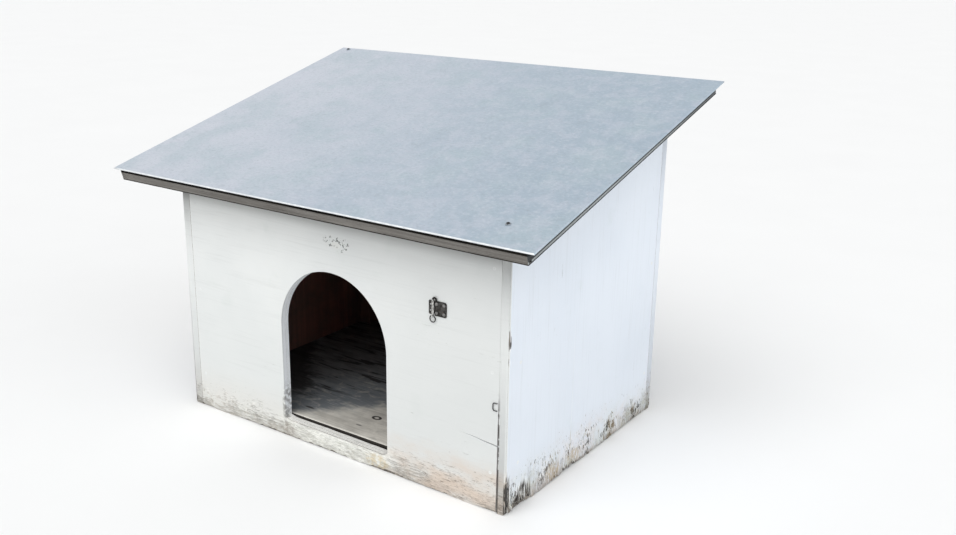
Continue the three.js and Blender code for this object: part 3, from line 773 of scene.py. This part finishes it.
def side_wall(name, node, facing, inner_x, run, pockets, chips, crack):
    """A side wall. run is (front, back) in the board's own X, and the roof slopes up towards the back."""
    front, back = run
    direction = 1 if back > front else -1
    front_z = EAVE_Z + 2 * MM
    back_z = EAVE_Z + SLOPE * abs(back - front) + 2 * MM
    low_x, high_x = min(run), max(run)
    outlines = []
    for k in range(PLY_COUNT):
        outer = k == PLY_COUNT - 1
        if outer:
            foot = foot_with_rot((low_x, 0), (high_x, 0), 8 * MM, 21.0, pockets)
        else:
            share = 0.45 if k == PLY_COUNT - 2 else 0.0
            smaller = [(c, half * 0.7, height * share) for c, half, height in pockets]
            foot = foot_with_rot((low_x, 0), (high_x, 0), 2 * MM, 23.0 + k, smaller)
        if outer and crack:
            at, width, height = crack
            foot = [p for p in foot if abs(p[0] - at) > 4 * MM]
            place = next(i for i, p in enumerate(foot) if p[0] > at)
            bends = [(0.2, 0.4), (0.4, 0.1), (0.6, 0.6), (0.8, 0.3)]
            up = [(at - width / 2 * (1 - t) + shift * MM, height * t) for t, shift in bends]
            down = [(at + width / 2 * (1 - t) + shift * MM, height * t) for t, shift in reversed(bends)]
            foot[place:place] = [(at - width / 2, 3 * MM), *up, (at, height), *down, (at + width / 2, 3 * MM)]
        low_top = front_z if direction > 0 else back_z
        high_top = back_z if direction > 0 else front_z
        outline = [*foot, (high_x, 2 * MM), (high_x, high_top), (low_x, low_top)]
        if outer:
            for low, high, depth in chips:
                middle = (low + high) / 2
                outline += [(low_x, high), (low_x + depth * 0.6, high - 4 * MM), (low_x + depth, middle)]
                outline += [(low_x + depth * 0.5, low + 5 * MM), (low_x, low)]
        outlines.append([outline])
    placement = Matrix.Translation((inner_x, 0, 0)) @ facing
    made = plies(name, outlines, PLY, placement)
    trim_under_roof(made)
    return finish_piece(made, "hutch", [node], BOARD_MATERIALS)


def back_wall():
    """The plain back wall, whose edges show on both sides."""
    outlines = []
    for k in range(PLY_COUNT):
        outer = k == PLY_COUNT - 1
        foot = rough_line((back_low.x, 0), (back_high.x, 0), 8 * MM, 8 * MM if outer else 2 * MM, 31.0 + k)
        corners = [(back_high.x, 2 * MM), (back_high.x, back_high.z), (back_low.x, back_high.z)]
        outlines.append([[*foot, *corners]])
    placement = Matrix.Translation((0, REAR_Y - PLY, 0)) @ FACING_BACK
    made = plies("back_wall", outlines, PLY, placement)
    trim_under_roof(made)
    return finish_piece(made, "hutch", ["back_panel"], BOARD_MATERIALS)


# ---------------------------------------------------------------- floor and inner frame


def floor_board():
    """The floor, worn back by the doorway so that the slot behind the sill widens to the right."""
    low, high = floor_low, floor_high
    front_edge = []
    for x, y in rough_line((low.x, low.y), (high.x, low.y), 8 * MM, 1.0 * MM, 51.0):
        inside = max(0, min(1, (DOOR_HALF + 0.03 - abs(x)) / 0.03))
        front_edge.append((x, y + (1.0 * MM + FLOOR_SKEW * x) * inside))
    outline = [*front_edge, (high.x, low.y), (high.x, high.y), (low.x, high.y)]
    made = new_object("floor_board", plate_mesh([outline], low.z, high.z, 1.2 * MM))
    # The front face takes the dark edge material: damp wood, darkened further as painted shade in the slot.
    for face in made.data.polygons:
        face.material_index = 1 if face.normal.y < -0.8 else 0
    return finish_piece(made, "hutch", ["floor_panel"], ("floor_timber", "damp_and_shaded_edge"))


def keep_cad(node, material, bevel):
    """A plain batten keeps its CAD mesh, with eased edges and a timber material."""
    kept = frame["nodes"][node]
    kept.data.materials.clear()
    kept.data.materials.append(MATERIALS[material])
    for face in kept.data.polygons:
        face.use_smooth = False
    ease = kept.modifiers.new("eased", "BEVEL")
    ease.width = bevel
    ease.segments = 2
    ease.limit_method = "ANGLE"
    ease.angle_limit = math.radians(50)
    return kept


# ---------------------------------------------------------------- roof


def roof_board():
    """The roof board from its plies, with a small core void on the right edge near the front."""
    low, high = box_in("roof_deck", ROOF)
    layers = 12
    thickness = (high.z - low.z) / layers
    meshes = []
    for k in range(layers):
        inset = (0.3 * MM if k % 2 else 0.0) + 0.1 * MM
        x0, x1, y0, y1 = low.x + inset, high.x - inset, low.y + inset, high.y - inset
        void = []
        if k in (1, 2):
            void = [(x1 - deep * MM, y0 + far * MM) for deep, far in ((0, 3), (6, 4), (7, 11), (0, 12))]
        front = rough_line((x0, y0), (x1, y0), 30 * MM, 0.6 * MM, 60.0 + k)
        outline = [*front, (x1, y0), *void, (x1, y1), (x0, y1)]
        meshes.append(plate_mesh([outline], low.z + k * thickness, low.z + (k + 1) * thickness, 0.15 * MM))
    mesh = joined(meshes)
    # The top plies, the bottom ply's edges and the core void's faces take the second material, a painted
    # shadow.
    for face in mesh.polygons:
        at = (face.center.z - low.z) / (high.z - low.z)
        inside = abs(face.normal.z) < 0.5 and 1 * MM < high.x - face.center.x < 8 * MM
        face.material_index = 1 if at > 0.70 or inside or (at < 0.05 and face.normal.z > -0.5) else 0
    made = new_object("roof_board", mesh, ROOF)
    return finish_piece(made, "hutch", ["roof_deck"], ("deck_timber", "deck_shadow"))


def roof_sheet_piece():
    """The sheet: a faintly uneven top, a rounded fold round its edge and the fold's return under it."""
    low, high = box_in("roof_skin", ROOF)
    fold = (high.z - low.z) / 2
    across, up = 60, 44
    inset = fold + 1 * MM
    x0, x1, y0, y1 = low.x + inset, high.x - inset, low.y + inset, high.y - inset
    work = bmesh.new()
    grid = []
    for j in range(up + 1):
        row = []
        for i in range(across + 1):
            u, v = i / across, j / up
            x, y = x0 + (x1 - x0) * u, y0 + (y1 - y0) * v
            fade = min(1, 12 * min(u, 1 - u, v, 1 - v))
            wave = noise.noise(Vector((x * 3.1, y * 3.1, 4))) + 0.35 * noise.noise(Vector((x * 9, y * 9, 7)))
            row.append(work.verts.new((x, y, high.z - fade * 0.35 * MM * (1 - wave))))
        grid.append(row)
    for j in range(up):
        for i in range(across):
            work.faces.new((grid[j][i], grid[j][i + 1], grid[j + 1][i + 1], grid[j + 1][i]))

    rim = [(grid[0][i], (0, -1)) for i in range(across)]
    rim += [(grid[j][across], (1, 0)) for j in range(up)]
    rim += [(grid[up][i], (0, 1)) for i in range(across, 0, -1)]
    rim += [(grid[j][0], (-1, 0)) for j in range(up, 0, -1)]
    corners = {0: (-1, -1), across: (1, -1), across + up: (1, 1), 2 * across + up: (-1, 1)}

    bend = [math.pi * k / 8 for k in range(9)]
    steps = [(inset - fold + fold * math.sin(a), fold * math.cos(a) - fold) for a in bend]
    return_width = 3.3 * MM
    steps.append((inset - return_width, -2 * fold))
    steps.append((inset - return_width, -1.8 * MM))
    previous = [vertex for vertex, _ in rim]
    folded = []
    for out, drop in steps:
        ring = []
        for index, (vertex, (nx, ny)) in enumerate(rim):
            nx, ny = corners.get(index, (nx, ny))
            ring.append(work.verts.new((vertex.co.x + nx * out, vertex.co.y + ny * out, high.z + drop)))
        for index in range(len(rim)):
            after = (index + 1) % len(rim)
            folded.append(work.faces.new((previous[after], previous[index], ring[index], ring[after])))
        previous = ring
    work.faces.new(list(reversed(previous)))
    bmesh.ops.recalc_face_normals(work, faces=work.faces)
    # The outer faces of the fold along the front edge take the second material, a painted highlight.
    for index, face in enumerate(folded):
        side = index % len(rim)
        face.material_index = 1 if index >= len(rim) and side < across else 0
    for face in work.faces:
        face.smooth = True
    made = new_object("roof_covering", mesh_of(work, "roof_sheet"), ROOF)
    return finish_piece(made, "hutch", ["roof_skin"], ("roof_sheet", "hem_painted_highlight"))


# ---------------------------------------------------------------- round and bent metal


def lathe_mesh(profile, segments=32):
    """A turned solid about local Z, from (radius, height) pairs that start and end on the axis."""
    work = bmesh.new()
    rings = []
    for radius, height in profile:
        around = circle_loop(0, 0, radius, segments if radius else 1)
        rings.append([work.verts.new((x, y, height)) for x, y in around])
    for lower, upper in zip(rings, rings[1:]):
        for i in range(segments):
            j = (i + 1) % segments
            if len(lower) == 1:
                work.faces.new((lower[0], upper[i], upper[j]))
            elif len(upper) == 1:
                work.faces.new((lower[i], lower[j], upper[0]))
            else:
                work.faces.new((lower[i], lower[j], upper[j], upper[i]))
    bmesh.ops.recalc_face_normals(work, faces=work.faces)
    return mesh_of(work, "turned")


def cross_loop(arm, width):
    """Outline of a cross recess."""
    half = width / 2
    quarter = [(half, half), (half, arm), (-half, arm)]
    loop = []
    for turn in range(4):
        c, s = [(1, 0), (0, 1), (-1, 0), (0, -1)][turn]
        loop += [(x * c - y * s, x * s + y * c) for x, y in quarter]
    return loop


def screw_mesh(radius, shank, length, head_depth, rise):
    """A cross-head screw: a disc with a real recess, over its cone and shank. Its top is at height rise."""
    loops = [circle_loop(0, 0, radius, 32), cross_loop(radius * 0.55, radius * 0.24)]
    face = plate_mesh(loops, rise - 0.9 * MM, rise, 0.12 * MM)
    body = lathe_mesh([
        (0, rise - 0.85 * MM), (radius * 0.97, rise - 0.85 * MM), (shank, -head_depth),
        (shank, -length + 3 * shank), (0, -length),
    ])
    return joined([face, body])


def looking_along(direction, origin):
    """Placement that turns local Z along a direction."""
    turn = Vector((0, 0, 1)).rotation_difference(Vector(direction))
    return Matrix.Translation(origin) @ turn.to_matrix().to_4x4()


def wire_mesh(points, radius, closed=False):
    """A round wire through the points."""
    curve = bpy.data.curves.new("wire", "CURVE")
    curve.dimensions = "3D"
    curve.bevel_depth = radius
    curve.bevel_resolution = 4
    curve.use_fill_caps = True
    add_line(curve, points, closed)
    mesh = curve_mesh(curve)
    for face in mesh.polygons:
        face.use_smooth = True
    return mesh


def tube_mesh(outer, inner, low, high, centre):
    """A rolled knuckle about local Z."""
    return plate_mesh([circle_loop(*centre, r, 28) for r in (outer, inner)], low, high, 0.2 * MM)


# ---------------------------------------------------------------- hasp

plate_low, plate_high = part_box("hasp_plate")
leaf_low, leaf_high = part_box("hasp_leaf")
ring_low, ring_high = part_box("tether_ring")
leaf_joint = next(j for j in frame["joints"] if j["name"] == "leaf_hinge")
HINGE = Vector(leaf_joint["pos_m"])
SHEET = 1.7 * MM
BARREL = 3.1 * MM
PIN = 1.4 * MM
KNUCKLES = {"lower": (5, 13), "middle": (13.4, 24), "upper": (24.4, 34.5)}


def knuckle(place):
    low, high = (plate_low.z + z * MM for z in KNUCKLES[place])
    return tube_mesh(BARREL, PIN + 0.1 * MM, low, high, (HINGE.x, HINGE.y))


def hasp_sheet(loops):
    """A flat stamped piece on the wall, from loops in the wall's plane."""
    mesh = plate_mesh(loops, 0, SHEET, 0.35 * MM)
    mesh.transform(Matrix.Translation((0, FACE_Y - 0.3 * MM, 0)) @ FACING_FRONT)
    return mesh


screw_spots = [tuple((a + b) / 2 for a, b in zip(*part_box(f"hasp_screw_{i}"))) for i in (1, 2, 3, 4)]


def shade_hasp(made):
    """Gives the front of the knuckles the second material, worn metal brightened as a painted highlight, and
    the sheet's cut edges the third, dark with dirt and painted shade.
    """
    for face in made.data.polygons:
        flat = abs(face.normal.y) > 0.5 or abs(face.center.x - HINGE.x) < BARREL + 0.1 * MM
        face.material_index = 1 if face.center.y < HINGE.y - 0.5 * MM else 0 if flat else 2


def hasp_plate_piece():
    foot, head = plate_low.z, plate_high.z
    far = plate_high.x
    corner = 5 * MM
    near = HINGE.x + BARREL + 0.5 * MM
    z = {name: tuple(foot + h * MM for h in span) for name, span in KNUCKLES.items()}
    outline = [(near, foot), *round_corner(far - corner, foot + corner, corner, -90)]
    outline += [*round_corner(far - corner, head - corner, corner, 0)]
    outline += [(HINGE.x, head), (HINGE.x, z["upper"][0]), (near, z["upper"][0])]
    bottom, top = z["lower"]
    outline += [(near, top), (HINGE.x, top), (HINGE.x, bottom), (near, bottom)]
    holes = [circle_loop(x, height, 3.5 * MM) for x, _, height in screw_spots]
    mesh = joined([hasp_sheet([outline, *holes]), knuckle("lower"), knuckle("upper")])
    made = new_object("hasp_fixed_plate", mesh)
    shade_hasp(made)
    return finish_piece(made, "hutch", ["hasp_plate"], ("zinc", "worn_zinc_and_highlight", "dark_wire"))


def hasp_leaf_piece():
    foot, head, far = leaf_low.z, leaf_high.z, leaf_low.x
    base = plate_low.z
    corner = 2.5 * MM
    near = HINGE.x - BARREL - 0.5 * MM
    step = HINGE.x - 5.4 * MM
    middle = [base + h * MM for h in KNUCKLES["middle"]]
    outline = [(step, foot), (step, base + 5 * MM), (near, base + 5 * MM), (near, middle[0])]
    outline += [(HINGE.x, middle[0]), (HINGE.x, middle[1]), (near, middle[1]), (near, head)]
    outline += [*round_corner(far + corner, head - corner, corner, 90)]
    outline += [*round_corner(far + corner, foot + corner, corner, 180)]
    holes = [circle_loop(HINGE.x - 8.2 * MM, base + h * MM, 2.2 * MM) for h in (10.5, 24.5)]
    mesh = joined([hasp_sheet([outline, *holes]), knuckle("middle")])
    made = new_object("hasp_swinging_leaf", mesh)
    shade_hasp(made)
    return finish_piece(made, "leaf", ["hasp_leaf"], ("zinc", "worn_zinc_and_highlight", "dark_wire"))


def hasp_pin_piece():
    """The bent hinge wire: a bright eye and shank, whose light colour is partly a painted highlight, and a
    dark crook on top.
    """
    x, y = HINGE.x, HINGE.y
    shoulder = plate_high.z + 2.5 * MM
    bend = 4.5 * MM
    shank = [(x, y, plate_low.z + 3.6 * MM), (x, y, plate_low.z + 12 * MM), (x, y, shoulder)]
    crook = []
    for i in range(13):
        angle = math.pi * (1 - i / 12)
        crook.append((x + bend + bend * math.cos(angle), y, shoulder + bend * math.sin(angle)))
    crook.append((x + 2 * bend, y, shoulder - 2 * MM))
    eye_centre = (ring_high.y + ring_low.y) / 2
    eye_z = plate_low.z + 0.75 * MM
    eye = [(x, across, up) for across, up in circle_loop(eye_centre, eye_z, 2.7 * MM, 32)]
    mesh = joined([wire_mesh(shank, PIN), wire_mesh(crook, 1.9 * MM), wire_mesh(eye, 1.0 * MM, closed=True)])
    # The shank and eye are bright metal with a painted highlight; the crook is dark wire.
    for face in mesh.polygons:
        on_crook = face.center.z > plate_high.z + 2.6 * MM or face.center.x > x + 3 * MM
        face.material_index = 1 if on_crook else 0
    made = new_object("hasp_bent_pin", mesh)
    return finish_piece(made, "hutch", ["hasp_pin"], ("bright_wire", "dark_wire"))


def tether_ring_piece():
    """The hanging wire ring, with the small step where its ends meet."""
    wire = (ring_high.y - ring_low.y) / 2
    radius = (ring_high.x - ring_low.x) / 2 - wire
    centre = (ring_low + ring_high) / 2
    points = []
    for i in range(64):
        angle = 2 * math.pi * i / 64
        weld = 0.12 * MM * math.exp(-((i - 40) / 1.5) ** 2)
        reach = radius + weld
        points.append((centre.x + reach * math.cos(angle), centre.y, centre.z + reach * math.sin(angle)))
    made = new_object("hanging_ring", wire_mesh(points, 1.08 * wire, closed=True))
    return finish_piece(made, "ring", ["tether_ring"], ("dark_wire",))


# ---------------------------------------------------------------- fasteners

OUTWARD = {"front": (0, -1, 0), "back": (0, 1, 0), "left": (-1, 0, 0), "right": (1, 0, 0)}


def wall_screws():
    """Painted-over screws, one for each CAD screw, found by their node names."""
    for node in sorted(frame["nodes"]):
        words = node.split("_")
        if words[0] not in ("front", "back", "side") or words[1] != "screw":
            continue
        direction = OUTWARD[words[2] if words[0] == "side" else words[0]]
        low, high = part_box(node)
        centre = (low + high) / 2
        half_length = max(high - low) / 2
        spot = centre + Vector(direction) * half_length
        placement = looking_along(direction, spot) @ Matrix.Rotation(random.uniform(0, math.pi), 4, "Z")
        made = new_object(node + "_head", screw_mesh(4 * MM, 2 * MM, 50 * MM, 3 * MM, 0.15 * MM), placement)
        finish_piece(made, "hutch", [node], ("painted_screw",))


def hasp_screws():
    for i, (x, y, z) in enumerate(screw_spots, 1):
        placement = looking_along((0, -1, 0), (x, FACE_Y - 2.0 * MM, z)) @ Matrix.Rotation(0.5 * i, 4, "Z")
        head = screw_mesh(3.4 * MM, 1.6 * MM, 18 * MM, 2 * MM, 0.6 * MM)
        made = new_object(f"hasp_screw_{i}_head", head, placement)
        finish_piece(made, "hutch", [f"hasp_screw_{i}"], ("screw_zinc",))


def roof_screws():
    """A cross-head screw on a washer, at each of the two places."""
    for place in ("front_right", "back_left"):
        low, high = box_in(f"roof_washer_{place}", ROOF)
        x, y = (low.x + high.x) / 2, (low.y + high.y) / 2
        seat = ROOF @ Matrix.Translation((x, y, low.z))
        loops = [circle_loop(0, 0, 6.5 * MM, 40), circle_loop(0, 0, 2.6 * MM)]
        rim = plate_mesh(loops, 0, 1.2 * MM, 0.3 * MM)
        made = new_object(f"roof_washer_{place}_ring", rim, seat)
        finish_piece(made, "hutch", [f"roof_washer_{place}"], ("dull_zinc",))
        head = screw_mesh(3.6 * MM, 2.1 * MM, 19 * MM, 0.2 * MM, 2.0 * MM)
        made = new_object(f"roof_screw_{place}_head", head, seat @ Matrix.Translation((0, 0, 1.3 * MM)))
        finish_piece(made, "hutch", [f"roof_screw_{place}"], ("dark_screw",))


def seam_staple():
    """The bent wire beside the right-hand seam."""
    low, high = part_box("seam_staple")
    wire = 1.1 * MM
    right, left = high.x - wire, low.x + wire
    foot, head = low.z + wire, high.z - wire
    proud, deep = low.y + wire, high.y
    nose = 4 * MM
    points = [(right, deep, head), (right, FACE_Y + 1 * MM, head), (right - 0.6 * MM, proud, head)]
    for start, cz in ((90, head - nose), (180, foot + nose)):
        points += [(x, proud, z) for x, z in round_corner(left + nose, cz, nose, start)]
    points += [(right - 0.6 * MM, proud, foot), (right, FACE_Y + 1 * MM, foot), (right, deep, foot)]
    made = new_object("seam_wire_staple", wire_mesh(points, wire))
    return finish_piece(made, "hutch", ["seam_staple"], ("dark_screw",))


# ---------------------------------------------------------------- camera, light and floor


def camera():
    """The camera stands to the right of the doorway and looks down a little."""
    place = Vector((1.5779, -2.0047, 1.1889))
    yaw, pitch, roll = 0.6037, 0.3004, 0.0168
    forward = Vector((-math.sin(yaw) * math.cos(pitch), math.cos(yaw) * math.cos(pitch), -math.sin(pitch)))
    level = Vector((math.cos(yaw), math.sin(yaw), 0))
    upright = level.cross(forward)
    right = math.cos(roll) * level + math.sin(roll) * upright
    up = -math.sin(roll) * level + math.cos(roll) * upright
    turn = Matrix((right, up, -forward)).transposed()
    data = bpy.data.cameras.new("camera")
    data.sensor_width = 36
    data.lens = 39.01
    made = linked("camera", data)
    made.matrix_world = Matrix.Translation(place) @ turn.to_4x4()
    bpy.context.scene.camera = made


def soft_sun(name, towards, strength, spread, colour):
    """A wide soft light from one direction, the same everywhere."""
    data = bpy.data.lights.new(name, "SUN")
    data.energy = strength
    data.angle = math.radians(spread)
    data.color = colour
    made = linked(name, data)
    made.matrix_world = looking_along(towards, Vector(towards) * 5)


def surroundings():
    """A dim even sky, one wide light from above the doorway, one from the right, and a pale ground."""
    world = bpy.data.worlds.new("sky")
    world.use_nodes = True
    background = world.node_tree.nodes["Background"]
    background.inputs["Color"].default_value = (0.985, 0.992, 1, 1)
    background.inputs["Strength"].default_value = 0.45
    bpy.context.scene.world = world
    soft_sun("above_doorway", (0.10, -0.55, 0.82), 2.05, 60, (1, 1, 0.99))
    soft_sun("from_right", (0.90, -0.20, 0.40), 1.0, 60, (0.93, 0.97, 1))
    mesh = bpy.data.meshes.new("ground")
    reach = 400
    corners = [(-reach, -reach, 0), (reach, -reach, 0), (reach, reach, 0), (-reach, reach, 0)]
    mesh.from_pydata(corners, [], [(0, 1, 2, 3)])
    ground = new_object("ground", mesh)
    s = Shade("pale_ground")
    s.colour = s.mix(s.noise(2, 3), (0.86, 0.86, 0.86), (0.89, 0.89, 0.89))
    ground.data.materials.append(s.done(Roughness=0.9))


# ---------------------------------------------------------------- assembly

random.seed(7)
bpy.context.scene.view_settings.view_transform = "Standard"
camera()
surroundings()

front_wall()
side_wall(
    "right_wall", "side_panel_right", FACING_RIGHT, HALF - PLY, (side_low.y, side_high.y),
    pockets=[(FACE_Y + 0.055, 0.05, 0.048), (FACE_Y + 0.004, 0.016, 0.085), (FACE_Y + 0.27, 0.05, 0.022)],
    chips=[(0.386, 0.433, 4.5 * MM), (0.352, 0.372, 2 * MM)],
    crack=(FACE_Y + 0.275, 2 * MM, 0.33),
)
side_wall(
    "left_wall", "side_panel_left", FACING_LEFT, -HALF + PLY, (-left_low.y, -left_high.y),
    pockets=[(-FACE_Y - 0.35, 0.06, 0.025)],
    chips=[],
    crack=None,
)
back_wall()
floor_board()
for side in ("left", "middle", "right"):
    keep_cad(f"floor_bearer_{side}", "bearer_timber", 1.2 * MM)
for end in ("front", "back"):
    for side in ("left", "right"):
        keep_cad(f"corner_post_{end}_{side}", "inner_timber", 1.2 * MM)
for side in ("front", "back", "left", "right"):
    keep_cad(f"roof_cleat_{side}", "inner_timber", 1.2 * MM)
roof_board()
roof_sheet_piece()
hasp_plate_piece()
hasp_leaf_piece()
hasp_pin_piece()
tether_ring_piece()
wall_screws()
hasp_screws()
roof_screws()
seam_staple()
